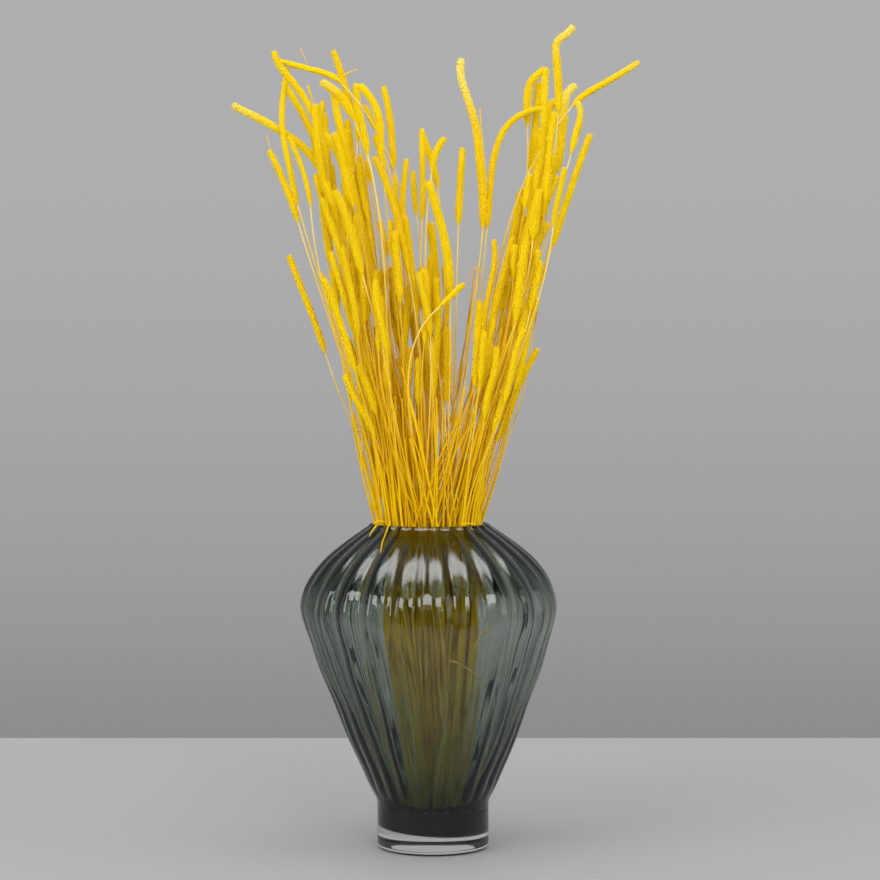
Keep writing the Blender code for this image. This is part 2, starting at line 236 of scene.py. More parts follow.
# radius and height of the wall's outside, from the lip down, and of its inside
OUTSIDE_RINGS = [
    (50.0, 269.0), (61.0, 261.6), (72.1, 253.7), (89.4, 238.7), (99.3, 225.5), (105.1, 212.2),
    (107.0, 201.7), (104.8, 188.1), (100.0, 173.2), (94.8, 155.7), (82.4, 123.4), (71.5, 93.5),
    (59.3, 66.9), (50.9, 47.8), (46.8, 40.5),
]
INSIDE_RINGS = [
    (47.0, 267.5), (47.0, 263.5), (57.0, 256.0), (68.0, 248.3), (83.0, 235.3), (94.5, 221.5),
    (100.8, 211.0), (103.0, 201.0), (101.3, 188.0), (96.2, 173.2), (90.4, 155.7), (77.0, 123.4),
    (64.8, 93.5), (51.5, 66.9), (40.5, 47.8), (34.0, 37.5), (27.0, 33.6), (20.0, 33.0),
    (10.0, 33.0), (0.0, 33.0),
]
LIP_RADIUS, LIP_HEIGHT, LIP_HALF_WIDTH, LIP_HALF_HEIGHT = 48.5, 269.0, 1.5, 1.3
GROOVE_HEIGHTS = (40.0, 60.0, 103.0, 153.0, 203.0, 243.0, 269.0)
GROOVE_DEPTHS = (0.0, 1.4, 2.6, 3.3, 3.6, 3.6, 1.8)
# 0 leaves the grooves round, more makes them narrower than the ribs between them
GROOVE_PINCH = 0.7
UNEVEN_DEPTH = 0.32
UNEVEN_HEIGHTS, UNEVEN_SHARES = (45.0, 85.0, 225.0, 262.0), (0.0, 1.0, 1.0, 0.0)
# the hollow stands off the middle, so the wall is thicker on the left
HOLLOW_SHIFT = 0.8
SHIFT_HEIGHTS, SHIFT_SHARES = (50.0, 110.0, 220.0, 255.0), (0.0, 1.0, 1.0, 0.0)
FOOT_RADIUS = 46.5
FOOT_EDGE = 4.5
# the smoked glass bulges down into the clear foot, and the seam stands askew
SEAM_MIDDLE, SEAM_RIM = 13.0, 17.0
SEAM_FALL_RIGHT, SEAM_RISE_BACK = 2.9, 1.1
SEAM_FADE = (19.0, 27.0)
SKIN = 0.06
# the underside: a clear shallow hollow, and the ring round it that the vase stands on
# the ring is dull and painted near black: a painted shade for the shadow under the vase that the foot shows
HOLLOW_RADIUS, HOLLOW_HEIGHT = 22.5, 0.9
HOLLOW_SHOULDER = 26.0
STANDING_RADIUS = 41.0
# the ring's inner edge is wavy: waves round it, size, start
RING_WAVES = [(3.0, 1.1, 0.0), (8.0, 0.8, 1.0)]


# ---- layout rules ------------------------------------------------------------------------------
def lean_shift(height):
    """How far the bowl stands off the axis of its foot at a height, in millimetres."""
    t = min(max((height - LEAN_FROM) / (LEAN_TO - LEAN_FROM), 0.0), 1.0)
    return LEAN_SHIFT * t * t * (3.0 - 2.0 * t)


def stalk_line(stalk, depth, scatter, stem_points, spike_points):
    """Centreline of a stalk: straight through the vase, an easy bend, then the spike.

    The scatter is an angle that says on which side of its place in an even fan the stem passes
    the mouth, and how far round the floor its cut end stands.
    """
    x, z, length, _radius, _wanted, leans = stalk
    foot_of_spike = np.array([x, depth, z], dtype=float)
    narrowing = (MOUTH_HEIGHT - FAN_HEIGHT) / (z - FAN_HEIGHT)
    across = x * narrowing + MOUTH_SCATTER * math.cos(scatter)
    back = depth * narrowing + MOUTH_SCATTER * math.sin(scatter)
    inward = min(1.0, MOUTH_LIMIT / max(math.hypot(across, back), 1.0))
    across, back = across * inward, back * inward
    mouth = np.array([across + lean_shift(MOUTH_HEIGHT), back, MOUTH_HEIGHT])
    turn = math.radians(FOOT_TURN) * math.sin(2.0 * scatter)
    cut_end = np.array([
        FOOT_SHRINK * (across * math.cos(turn) - back * math.sin(turn)),
        FOOT_SHRINK * (across * math.sin(turn) + back * math.cos(turn)),
        CUT_END_HEIGHT,
    ])

    depth_lean = math.atan2(depth, z - FAN_HEIGHT)
    steps = max(spike_points - 1, 1)
    spike = [foot_of_spike]
    for i in range(steps):
        angle = math.radians(np.interp((i + 0.5) / steps, np.linspace(0.0, 1.0, len(leans)), leans))
        way = np.array([math.sin(angle), math.sin(depth_lean), math.cos(angle)])
        spike.append(spike[-1] + way / np.linalg.norm(way) * length / steps)

    start = (mouth - cut_end) / np.linalg.norm(mouth - cut_end)
    first = math.radians(leans[0])
    end = np.array([math.sin(first), math.sin(depth_lean), math.cos(first)])
    end /= np.linalg.norm(end)
    span = np.linalg.norm(foot_of_spike - mouth)
    stem = [cut_end]
    for i in range(stem_points - 1):
        t = i / (stem_points - 1)
        stem.append(
            (2 * t**3 - 3 * t**2 + 1) * mouth
            + (t**3 - 2 * t**2 + t) * span * start
            + (3 * t**2 - 2 * t**3) * foot_of_spike
            + (t**3 - t**2) * span * end
        )
    return np.array(stem), np.array(spike)


def stalk_radii(stem, spike, radius):
    """Radius at each point of a stalk's stem and spike."""
    along = np.linspace(0.0, 1.0, len(spike))
    shape = np.interp(along, np.linspace(0.0, 1.0, len(SPIKE_SHAPE)), SPIKE_SHAPE)
    return np.concatenate([np.full(len(stem), STEM_RADIUS), shape * radius])


def even_points(points, radii, count):
    """The same line with evenly spaced points, and its radius at each of them."""
    run = np.concatenate([[0.0], np.cumsum(np.linalg.norm(np.diff(points, axis=0), axis=1))])
    at = np.linspace(0.0, run[-1], count)
    line = np.stack([np.interp(at, run, points[:, k]) for k in range(3)], axis=1)
    return line, np.interp(at, run, radii)


def segment_gap(line_a, radii_a, line_b, radii_b):
    """Smallest gap between two tubes, segment against segment."""
    p, u = line_a[:-1, None], np.diff(line_a, axis=0)[:, None]
    q, v = line_b[None, :-1], np.diff(line_b, axis=0)[None, :]
    w = p - q
    a, b, c = (u * u).sum(-1), (u * v).sum(-1), (v * v).sum(-1)
    d, e = (u * w).sum(-1), (v * w).sum(-1)
    denominator = np.maximum(a * c - b * b, 1e-9)
    s = np.clip((b * e - c * d) / denominator, 0.0, 1.0)
    t = np.clip((b * s + e) / c, 0.0, 1.0)
    s = np.clip((b * t - d) / a, 0.0, 1.0)
    away = np.linalg.norm(w + s[..., None] * u - t[..., None] * v, axis=-1)
    widest_a = np.maximum(radii_a[:-1], radii_a[1:])[:, None]
    widest_b = np.maximum(radii_b[:-1], radii_b[1:])[None, :]
    return float((away - widest_a - widest_b).min())


def place_stalk(stalk, placed, clearance, check_points, tries):
    """Depth and scatter of the first try that is clear of the stalks placed before it."""
    x, z, _length, radius, wanted, leans = stalk
    for k in range(tries):
        away, side = (k // PASS_TRIES + 1) // 2, 1 if k // PASS_TRIES % 2 else -1
        depth = wanted + DEPTH_STEP * away * side
        scatter = x + z + GOLDEN_ANGLE * k
        stem, spike = stalk_line(stalk, depth, scatter, STEM_POINTS, max(SPIKE_POINTS, len(leans) + 1))
        if stem[1][1] > FREE_BACK:
            continue
        points = np.concatenate([stem[:-1], spike])
        line = even_points(points, stalk_radii(stem[:-1], spike, radius), check_points)
        if all(segment_gap(*line, *other) > clearance for other in placed):
            placed.append(line)
            return depth, scatter
    return None


def hidden_stalks(rng, count, xs, heights, depths, placed):
    """Seeded stalks in the thick of the bunch, each kept only where it is nearly clear."""
    stalks = []
    for _ in range(count):
        z = rng.uniform(*heights)
        rise = (z - FAN_HEIGHT) / (heights[1] - FAN_HEIGHT)
        x = rng.uniform(*xs) * rise
        first, *later = HIDDEN_LEAN_SPREADS
        lean = math.degrees(math.atan2(x, z - FAN_HEIGHT)) + rng.normal(0.0, first)
        leans = (lean, *(lean + rng.normal(0.0, spread) for spread in later))
        length, radius = rng.uniform(*HIDDEN_LENGTHS), rng.uniform(*HIDDEN_RADII)
        stalk = (x, z, length, radius, rng.uniform(*depths) * rise, leans)
        found = place_stalk(stalk, placed, HIDDEN_CLEARANCE, HIDDEN_CHECK_POINTS, HIDDEN_TRIES)
        if found:
            stalks.append((stalk, *found))
    return stalks


def bare_straw(rng, mouth_span, top_span):
    """Line and radius of a straw that crosses the mouth anywhere and leans its own way."""
    share = rng.uniform()
    across = np.interp(share, (0.0, 1.0), mouth_span)
    room = math.sqrt(max(MOUTH_LIMIT**2 - across**2, 1.0))
    back = min(rng.uniform(-room, room), FREE_BACK)
    top_share = min(max(share + rng.normal(0.0, STRAW_STRAY), 0.0), 1.0)
    top_x = np.interp(top_share, (0.0, 1.0), top_span)
    top_y = back * STRAW_DEPTH_FAN + rng.normal(0.0, STRAW_DEPTH_STRAY)
    top_z = rng.uniform(*STRAW_TOPS)
    reach = (top_z - MOUTH_HEIGHT) / (STRAW_TOP - MOUTH_HEIGHT)
    mouth = np.array([across + LEAN_SHIFT, back, MOUTH_HEIGHT])
    top = np.array([mouth[0] + (top_x - mouth[0]) * reach, mouth[1] + (top_y - mouth[1]) * reach, top_z])
    turn, shrink = rng.uniform(-STRAW_TURN, STRAW_TURN), rng.uniform(*STRAW_SHRINK)
    cut_end = np.array([
        shrink * (across * math.cos(turn) - back * math.sin(turn)),
        shrink * (across * math.sin(turn) + back * math.cos(turn)),
        CUT_END_HEIGHT,
    ])
    bow = rng.normal(0.0, STRAW_BOW, 2)
    t = np.linspace(0.0, 1.0, 12)[:, None]
    above = mouth + (top - mouth) * t
    above[:, :2] += bow * np.sin(t * math.pi)
    thin = rng.uniform() < THIN_STRAW_SHARE
    radius = rng.uniform(*(THIN_STRAW_RADII if thin else THICK_STRAW_RADII))
    return np.concatenate([cut_end + (mouth - cut_end) * t[:-1], above]), radius


def lay_out():
    """{piece name: (CAD node it stands for, [(stalk, depth, scatter), ...], [straw, ...])}"""
    placed = []
    for rings in BUNDLES.values():
        rings = np.array(rings, dtype=float)
        placed.append(even_points(rings[:, :3], rings[:, 3], CHECK_POINTS))
    pieces = {}
    for side, stalks in (("left", LEFT_STALKS), ("middle", MIDDLE_STALKS), ("right", RIGHT_STALKS)):
        for number, stalk in enumerate(stalks, start=1):
            found = place_stalk(stalk, placed, CLEARANCE, CHECK_POINTS, DEPTH_TRIES * PASS_TRIES)
            node = f"stalk_{side}_{number:02d}"
            pieces[f"timothy_{side}_{number:02d}"] = (node, [(stalk, *found)], [])

    placed = placed[len(BUNDLES):]
    inner = {name: [] for name in BUNDLES}
    for name, stalk in SHOWING_INNER_STALKS:
        found = place_stalk(stalk, placed, SHOWING_CLEARANCE, CHECK_POINTS, DEPTH_TRIES * PASS_TRIES)
        inner[name].append((stalk, *found))
    rng = np.random.default_rng(LAYOUT_SEED)
    for name, *spread in HIDDEN_STALKS:
        inner[name] += hidden_stalks(rng, *spread, placed)
    straws = {
        name: [bare_straw(rng, mouth_span, top_span) for _ in range(count)]
        for name, count, mouth_span, top_span in BARE_STRAWS
    }
    for name, bits in LOOSE_BITS.items():
        straws[name] += [(np.array(points, dtype=float), radius) for points, radius in bits]
    for name, stalks in inner.items():
        pieces[name.replace("inner_stalks", "timothy_inner")] = (name, stalks, straws[name])
    return pieces


# ---- grass meshes ------------------------------------------------------------------------------
STEM_SLOT, SPIKE_SLOT = 0, 1
STEM_SIDES, STRAW_SIDES, CORE_SIDES = 6, 5, 10
STEM_STEP = 11.0
LINE_POINTS = 24
SURFACE_SEED = 5

# how thick a straw is at its cut end, and how much of that it loses up to its top
CUT_END_SHARE, THINNING = 1.35, 0.8
# a straw longer than this has joints; where they sit, and how long and how thick they are
JOINTED_LENGTH = 100.0
JOINT_PLACES = [(0.16, 0.3), (0.42, 0.62)]
JOINT_LENGTH, JOINT_SWELL = 6.0, 0.3
# the sheath that rises from each joint: its share of the straw, and how it thickens it
SHEATH_SHARE, SHEATH_THICKNESS = 0.12, 1.12
# towards the cut ends, between these heights, the straws get thicker and are painted paler
FADE_FROM, FADE_TO = 220.0, 120.0
# inside the vase their paleness and fresh tone are painted light that brightens them there; both vary at
# random from straw to straw
FOOT_THICKENING, FOOT_PAINTED_LIGHT, FOOT_RANDOM_AND_LIT_TONES = 0.3, (0.1, 1.5), (0.0, 1.3)

SPIKE_SAMPLES = 48
FOOT_TAPER, TIP_ROUNDING = 9.0, 5.0
CORE_SHARE = 0.86
# the stalks inside the bunch have fewer, larger scales
SPIKELET_PITCH, HIDDEN_PITCH = 1.25, 1.72
SPIKELET_LENGTH, SPIKELET_WIDTH = 2.3, 1.5
SPIKELET_SIZES = (0.85, 1.15)
KEEL_LIFT, MOST_SPLAY = 0.28, 0.16
BRISTLE_LENGTHS, BRISTLE_WIDTH = (0.25, 0.6), 0.18
BRISTLE_LEAN, BRISTLE_SPREAD = 0.35, 0.35
# corners of a scale: base, left, right, keel, tip, then the foot and tip of each bristle
SPIKELET_FACES = np.array([(0, 1, 3), (0, 3, 2), (1, 4, 3), (3, 4, 2), (5, 6, 4), (4, 8, 7)])
SPIKELET_PALENESS = np.array([0.0, 0.2, 0.2, 0.35, 0.5, 0.5, 0.7, 0.5, 0.7])

# spikes paler towards the tip, and how much: partly bleaching, partly a painted highlight for light on the
# top of some heads
PALE_TIPS_BLEACHED_AND_LIT = {
    "timothy_left_01": 0.85, "timothy_left_09": 0.85, "timothy_right_01": 1.15,
    "timothy_right_05": 1.0, "timothy_right_06": 1.1, "timothy_right_07": 0.7, "timothy_right_08": 0.8,
}
# spikes painted a deeper orange all over: a painted shade for the shade that falls on them in the bunch
SHADED_ORANGE_SPIKES = ("timothy_left_08", "timothy_left_10", "timothy_left_15", "timothy_left_19", "timothy_middle_01")
SHADED_ORANGE_TONE, SPIKE_SHADES, SHADE_SCATTER = 0.25, (0.45, 0.85), 0.07
# painted shade: spans of x across the mouth where straws are mostly painted dark and brown,
SHADE_CLUMPS = [(-40, -16), (18, 36)]
# standing in for the deep shade between them; the chance of that there, and elsewhere the chance of an aged,
# browner straw
SHADE_CLUMP_CHANCE, OLDER_ELSEWHERE = 0.65, 0.12
OLD_AND_SHADED_TONES, YOUNGER_SHADES = (0.0, 0.3), (0.5, 1.0)
# how far straws are bleached at the top: stalks in front, stalks inside, thin and thick bare straws
FRONT_BLEACH, INNER_BLEACH, THIN_BLEACH, THICK_BLEACH = 1.1, 0.5, 0.6, 0.2
THIN_STRAW = 0.65
# scraps of leaf that lie lower than this have dried paler
SCRAP_HEIGHT, SCRAP_PALENESS = 200.0, 0.9


class Pile:
    """Vertices, faces, material numbers and vertex tones gathered for one mesh."""

    def __init__(self):
        self.verts, self.faces, self.slots, self.tones = [], [], [], []
        self.count = 0

    def add(self, verts, faces, slot, tones):
        self.verts.append(np.asarray(verts, dtype=float))
        self.faces.extend((np.asarray(face) + self.count).tolist() for face in faces)
        self.slots.extend([slot] * len(faces))
        self.tones.append(np.asarray(tones, dtype=float))
        self.count += len(verts)

    def make(self, name, materials):
        mesh = bpy.data.meshes.new(name)
        verts = np.concatenate(self.verts) * MM
        mesh.from_pydata(verts.tolist(), [], self.faces)
        for material in materials:
            mesh.materials.append(material)
        mesh.polygons.foreach_set("material_index", self.slots)
        mesh.polygons.foreach_set("use_smooth", [False] * len(self.faces))
        tones = np.concatenate(self.tones)
        layer = mesh.attributes.new("grain", "FLOAT_COLOR", "POINT")
        layer.data.foreach_set("color", np.column_stack([tones, np.ones(len(tones))]).ravel())
        mesh.update()
        return show(name, mesh)


def show(name, data):
    """A new object in the scene."""
    obj = bpy.data.objects.new(name, data)
    bpy.context.scene.collection.objects.link(obj)
    return obj


def line_frames(line):
    """Tangent and two cross directions at each point, turned along the line without twist."""
    tangents = np.gradient(line, axis=0)
    tangents /= np.linalg.norm(tangents, axis=1)[:, None]
    side = np.cross(tangents[0], [0.0, 1.0, 0.0])
    side /= np.linalg.norm(side)
    sides = [side]
    for tangent in tangents[1:]:
        side = side - tangent * np.dot(side, tangent)
        side /= np.linalg.norm(side)
        sides.append(side)
    sides = np.array(sides)
    return tangents, sides, np.cross(tangents, sides)


def tube_faces(rings, sides):
    """Faces of a tube of rings, closed at both ends."""
    faces = []
    for i in range(rings - 1):
        for j in range(sides):
            a, b = i * sides + j, i * sides + (j + 1) % sides
            faces.append((a, b, b + sides, a + sides))
    faces.append(tuple(range(sides - 1, -1, -1)))
    faces.append(tuple((rings - 1) * sides + j for j in range(sides)))
    return faces


def add_tube(pile, line, radii, sides, slot, tones):
    """A tube along the line, with a radius and a tone at each of its points."""
    _tangents, across, up = line_frames(line)
    angles = np.arange(sides) / sides * math.tau
    ring = np.cos(angles)[None, :, None] * across[:, None] + np.sin(angles)[None, :, None] * up[:, None]
    verts = line[:, None] + ring * np.asarray(radii)[:, None, None]
    pile.add(verts.reshape(-1, 3), tube_faces(len(line), sides), slot, np.repeat(tones, sides, axis=0))


def grow_stem(pile, stem, radius, sides, rng, shade, bleached, paled=0.0):
    """A straw: it wanders a little, thins upward and has a swollen, darker joint or two."""
    length = np.linalg.norm(np.diff(stem, axis=0), axis=1).sum()
    line, _ = even_points(stem, np.ones(len(stem)), max(int(length / STEM_STEP), 4))
    along = np.linspace(0.0, 1.0, len(line))
    wander = np.sin(along * math.pi)[:, None] * np.column_stack([
        np.sin(along * rng.uniform(6, 11) + rng.uniform(0, 6)),
        np.sin(along * rng.uniform(6, 11) + rng.uniform(0, 6)),
        np.zeros(len(line)),
    ])
    # the crowd in the mouth holds it nearly straight; it is freer above
    free = np.clip((line[:, 2] - MOUTH_HEIGHT - 20.0) / 80.0, 0.0, 1.0)[:, None]
    line = line + wander * rng.uniform(0.4, 1.5) * (0.3 + 0.7 * free) * min(length / 150.0, 1.0)
    radii = radius * (CUT_END_SHARE - THINNING * along)
    joint = np.zeros(len(line))
    if length > JOINTED_LENGTH:
        for at in [rng.uniform(*place) for place in JOINT_PLACES]:
            swell = np.exp(-(((along - at) * length / JOINT_LENGTH) ** 2))
            sheathed = (along > at) & (along < at + SHEATH_SHARE)
            radii = radii * (1.0 + JOINT_SWELL * swell) * np.where(sheathed, SHEATH_THICKNESS, 1.0)
            joint = np.maximum(joint, swell)
    low = np.clip((FADE_FROM - line[:, 2]) / (FADE_FROM - FADE_TO), 0.0, 1.0)
    radii = radii * (1.0 + FOOT_THICKENING * low)
    # inside the vase the straws are painted paler and given a fresh tone: painted light
    pale = np.maximum(np.maximum(bleached * along**2.5, rng.uniform(*FOOT_PAINTED_LIGHT) * low), paled)
    tones = np.column_stack([shade + (rng.uniform(*FOOT_RANDOM_AND_LIT_TONES) - shade) * low, pale, joint])
    add_tube(pile, line, radii, sides, STEM_SLOT, tones)


def rounded(run, over):
    """0 at an end, rising along a quarter circle to 1 where the run from the end is over."""
    return np.sqrt(1.0 - (1.0 - np.clip(run / over, 0.0, 1.0)) ** 2)


def grow_spike(pile, spike, radius, rng, shade, cream, pitch):
    """A timothy head: a core packed with keeled scales in a spiral, each with two bristles."""
    length = np.linalg.norm(np.diff(spike, axis=0), axis=1).sum()
    line, _ = even_points(spike, np.ones(len(spike)), SPIKE_SAMPLES)
    tangents, across, up = line_frames(line)
    along = np.linspace(0.0, 1.0, len(line))
    thickness = radius - 0.2
    foot_taper = 0.3 + 0.7 * np.sin(np.clip(along * length / FOOT_TAPER, 0.0, 1.0) * math.pi / 2)
    ends = foot_taper * np.maximum(rounded((1.0 - along) * length, TIP_ROUNDING), 0.25)
    taper = 1.0 - 0.12 * along**3
    run = along * length
    lumps = 1.0 + 0.03 * np.sin(run / 6.1 + rng.uniform(0, 6)) + 0.02 * np.sin(run / 2.9)
    profile = thickness * ends * taper * lumps
    core_tones = np.column_stack([np.full(len(line), shade * 0.85), cream * along**2, np.zeros(len(line))])
    core = np.maximum(profile[::2] * CORE_SHARE, 0.4)
    add_tube(pile, line[::2], core, CORE_SIDES, SPIKE_SLOT, core_tones[::2])

    count = int(length * math.tau * thickness / pitch**2)
    index = np.arange(count)
    at = np.clip((index + 0.5) / count * 0.985 + rng.uniform(-0.004, 0.004, count), 0.0, 1.0)
    turn = index * GOLDEN_ANGLE + rng.uniform(-0.25, 0.25, count)

    def sample(values):
        return np.stack([np.interp(at, along, values[:, k]) for k in range(3)], axis=1)

    centre, ahead, a, b = sample(line), sample(tangents), sample(across), sample(up)
    out = a * np.cos(turn)[:, None] + b * np.sin(turn)[:, None]
    side = np.cross(ahead, out)
    r = np.interp(at, along, profile)[:, None]
    size = (rng.uniform(*SPIKELET_SIZES, count) * np.clip(np.interp(at, along, ends), 0.45, 1.0))[:, None]
    size = size * math.sqrt(pitch / SPIKELET_PITCH)
    left_over = ((1.0 - at) * length)[:, None]
    reach = np.minimum(SPIKELET_LENGTH * size, left_over + 0.6)
    half = SPIKELET_WIDTH / 2 * size
    splay = rng.uniform(0.0, MOST_SPLAY, count)[:, None]
    lift = (KEEL_LIFT + splay) * size
    base = centre + out * r * 0.8
    left = centre + ahead * reach * 0.45 + out * (r * 0.92 + 0.1) - side * half
    right = centre + ahead * reach * 0.45 + out * (r * 0.92 + 0.1) + side * half
    keel = centre + ahead * reach * 0.5 + out * (r + lift)
    tip = centre + ahead * reach + out * (r + lift - 0.16)
    bristle = rng.uniform(*BRISTLE_LENGTHS, count)[:, None]
    bristle_tip = tip + ahead * bristle + out * (BRISTLE_LEAN * bristle + splay)
    verts = np.stack([
        base, left, right, keel, tip,
        tip - side * BRISTLE_WIDTH, bristle_tip - side * BRISTLE_SPREAD,
        tip + side * BRISTLE_WIDTH, bristle_tip + side * BRISTLE_SPREAD,
    ], axis=1)
    tones = np.zeros((count, len(SPIKELET_PALENESS), 3))
    tones[..., 0] = np.clip(shade + rng.normal(0.0, SHADE_SCATTER, count), 0.0, 1.0)[:, None]
    # cream spreads from the tip of a pale-tipped spike down its upper half: partly bleaching, partly a
    # painted highlight
    bleached = cream * np.clip((at - 0.35) / 0.5, 0.0, 1.0)[:, None]
    tones[..., 1] = np.maximum(SPIKELET_PALENESS, bleached)
    faces = (SPIKELET_FACES[None] + (index * len(SPIKELET_PALENESS))[:, None, None]).reshape(-1, 3)
    pile.add(verts.reshape(-1, 3), faces, SPIKE_SLOT, tones.reshape(-1, 3))


def grow_stalk(pile, name, stalk, depth, scatter, rng, inner):
    """A whole stalk: its straw, which runs a little way into the head, and its head."""
    stem, spike = stalk_line(stalk, depth, scatter, LINE_POINTS, LINE_POINTS)
    # some heads get a deeper orange tone all over: a painted shade
    shade = SHADED_ORANGE_TONE if name in SHADED_ORANGE_SPIKES else rng.uniform(*SPIKE_SHADES)
    straw = np.concatenate([stem, spike[:2]])
    bleached = INNER_BLEACH if inner else FRONT_BLEACH
    grow_stem(pile, straw, STEM_RADIUS * rng.uniform(0.85, 1.05), STEM_SIDES, rng, shade, bleached)
    pitch = HIDDEN_PITCH if inner else SPIKELET_PITCH
    grow_spike(pile, spike, stalk[3], rng, shade, PALE_TIPS_BLEACHED_AND_LIT.get(name, 0.0), pitch)


def grow_bare_straw(pile, line, radius, rng):
    """A straw with no head, or a crumb or scrap of leaf."""
    across = np.interp(MOUTH_HEIGHT, line[:, 2], line[:, 0])
    # straws that cross the mouth in a shade clump are mostly painted dark: painted shade
    in_shade_clump = any(a < across < b for a, b in SHADE_CLUMPS)
    old_and_shaded = rng.uniform() < (SHADE_CLUMP_CHANCE if in_shade_clump else OLDER_ELSEWHERE)
    shade = rng.uniform(*(OLD_AND_SHADED_TONES if old_and_shaded else YOUNGER_SHADES))
    bleached = THIN_BLEACH if radius < THIN_STRAW else THICK_BLEACH
    paled = SCRAP_PALENESS if line[:, 2].max() < SCRAP_HEIGHT else 0.0
    grow_stem(pile, line, radius, STRAW_SIDES, rng, shade, bleached, paled)


def build_grass(pieces, stem_material, spike_material):
    """One mesh for each stalk in front, and one for each part of the thick of the bunch."""
    rng = np.random.default_rng(SURFACE_SEED)
    for name, (node, stalks, straws) in pieces.items():
        pile = Pile()
        for stalk, depth, scatter in stalks:
            grow_stalk(pile, name, stalk, depth, scatter, rng, inner=node in BUNDLES)
        for line, radius in straws:
            grow_bare_straw(pile, line, radius, rng)
        obj = pile.make(name, [stem_material, spike_material])
        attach(obj, "root")
        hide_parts(node)


# ---- vase meshes -------------------------------------------------------------------------------
def smooth_rings(rings, spacing):
    """The ring list as a smooth curve, sampled at about the spacing along it."""
    points = np.array(rings, dtype=float)
    run = np.concatenate([[0.0], np.cumsum(np.linalg.norm(np.diff(points, axis=0), axis=1))])
    slopes = np.gradient(points, run, axis=0)
    at = np.linspace(0.0, run[-1], int(run[-1] / spacing))
    i = np.clip(np.searchsorted(run, at, side="right") - 1, 0, len(run) - 2)
    h = (run[i + 1] - run[i])[:, None]
    t = ((at - run[i]) / (run[i + 1] - run[i]))[:, None]
    return (
        (2 * t**3 - 3 * t**2 + 1) * points[i]
        + (t**3 - 2 * t**2 + t) * h * slopes[i]
        + (3 * t**2 - 2 * t**3) * points[i + 1]
        + (t**3 - t**2) * h * slopes[i + 1]
    )


def unevenness(angles, height):
    """How far the blown wall stands out of its even shape, the same for both its faces."""
    share = np.interp(height, UNEVEN_HEIGHTS, UNEVEN_SHARES)
    slow = np.sin(5.0 * angles + height / 19.0)
    quick = 0.8 * np.sin(9.0 * angles - height / 13.0 + 1.7)
    return UNEVEN_DEPTH * share * (slow + quick)


def revolve(rings, name, material):
    """A closed glass body from rings (radius, height, groove depth, shift), axis to axis."""
    columns = RIB_COUNT * COLUMNS_PER_RIB
    angles = np.arange(columns) / columns * math.tau
    wave = 0.5 - 0.5 * np.cos(RIB_COUNT * angles)
    wave *= 1.0 - GROOVE_PINCH * (1.0 - wave)
    angles = angles + math.radians(FIRST_CREST)
    verts, starts = [], []
    for radius, height, depth, shift in rings:
        starts.append(len(verts))
        shift += lean_shift(height)
        if radius < 1e-6:
            verts.append((shift, 0.0, height))
            continue
        r = radius - depth * wave + unevenness(angles, height)
        verts.extend(zip(r * np.cos(angles) + shift, r * np.sin(angles), np.full(columns, height)))
    faces = []
    for i in range(len(rings) - 1):
        a, b = starts[i], starts[i + 1]
        for j in range(columns):
            k = (j + 1) % columns
            if rings[i][0] < 1e-6:
                faces.append((a, b + k, b + j))
            elif rings[i + 1][0] < 1e-6:
                faces.append((a + j, a + k, b))
            else:
                faces.append((a + j, a + k, b + k, b + j))
    mesh = bpy.data.meshes.new(name)
    mesh.from_pydata([tuple(float(c) * MM for c in v) for v in verts], [], faces)
    mesh.materials.append(material)
    mesh.polygons.foreach_set("use_smooth", [True] * len(faces))
    mesh.update()
    return show(name, mesh)


def grooved(radius, height, shift):
    """A ring with the depth of its grooves and its shift to the right."""
    shift *= np.interp(height, SHIFT_HEIGHTS, SHIFT_SHARES)
    depth = np.interp(height, GROOVE_HEIGHTS, GROOVE_DEPTHS)
    return float(radius), float(height), float(depth), float(shift)


def glass_rings():
    """Rings of the whole vase from the middle of its underside out, up, over the lip and in."""
    e = FOOT_EDGE
    rings = [(0.0, HOLLOW_HEIGHT), (12.0, HOLLOW_HEIGHT)]
    rings += [(r, HOLLOW_HEIGHT) for r in np.linspace(19.0, HOLLOW_SHOULDER, 11)]
    rings += [((HOLLOW_SHOULDER + STANDING_RADIUS) / 2, HOLLOW_HEIGHT / 2), (STANDING_RADIUS, 0.0)]
    rings += [
        (FOOT_RADIUS - e + e * math.sin(t), e - e * math.cos(t))
        for t in np.linspace(0.0, math.pi / 2, 7)
    ]
    rings += [(FOOT_RADIUS, h) for h in (8.0, SEAM_RIM, 23.0, 29.0, 34.0)]
    rings += list(smooth_rings(OUTSIDE_RINGS, RING_SPACING)[::-1])
    rings += [
        (LIP_RADIUS + LIP_HALF_WIDTH * math.cos(t), LIP_HEIGHT + LIP_HALF_HEIGHT * math.sin(t))
        for t in np.linspace(0.35, math.pi - 0.35, 7)
    ]
    inside = list(smooth_rings(INSIDE_RINGS, RING_SPACING)[:-1]) + [(0.0, FLOOR_HEIGHT)]
    return [grooved(*ring, 0.0) for ring in rings] + [grooved(*ring, HOLLOW_SHIFT) for ring in inside]


def smoke_rings():
    """The coloured glass inside the clear skin: the same rings a hair inside, from the seam up."""
    rings = np.array([ring for ring in glass_rings() if ring[1] > SEAM_RIM + 4.0])
    way = np.gradient(rings[:, :2], axis=0)
    way /= np.linalg.norm(way, axis=1)[:, None]
    rings[:, 0] -= way[:, 1] * SKIN
    rings[:, 1] += way[:, 0] * SKIN
    rings[-1] = (0.0, FLOOR_HEIGHT - SKIN, 0.0, 0.0)
    rim = FOOT_RADIUS - SKIN
    dip = SEAM_RIM - SEAM_MIDDLE
    seam = [(rim * t, SEAM_MIDDLE + dip * t**2, 0.0, 0.0) for t in np.linspace(0.0, 1.0, 12)]
    return seam + [tuple(ring) for ring in rings]


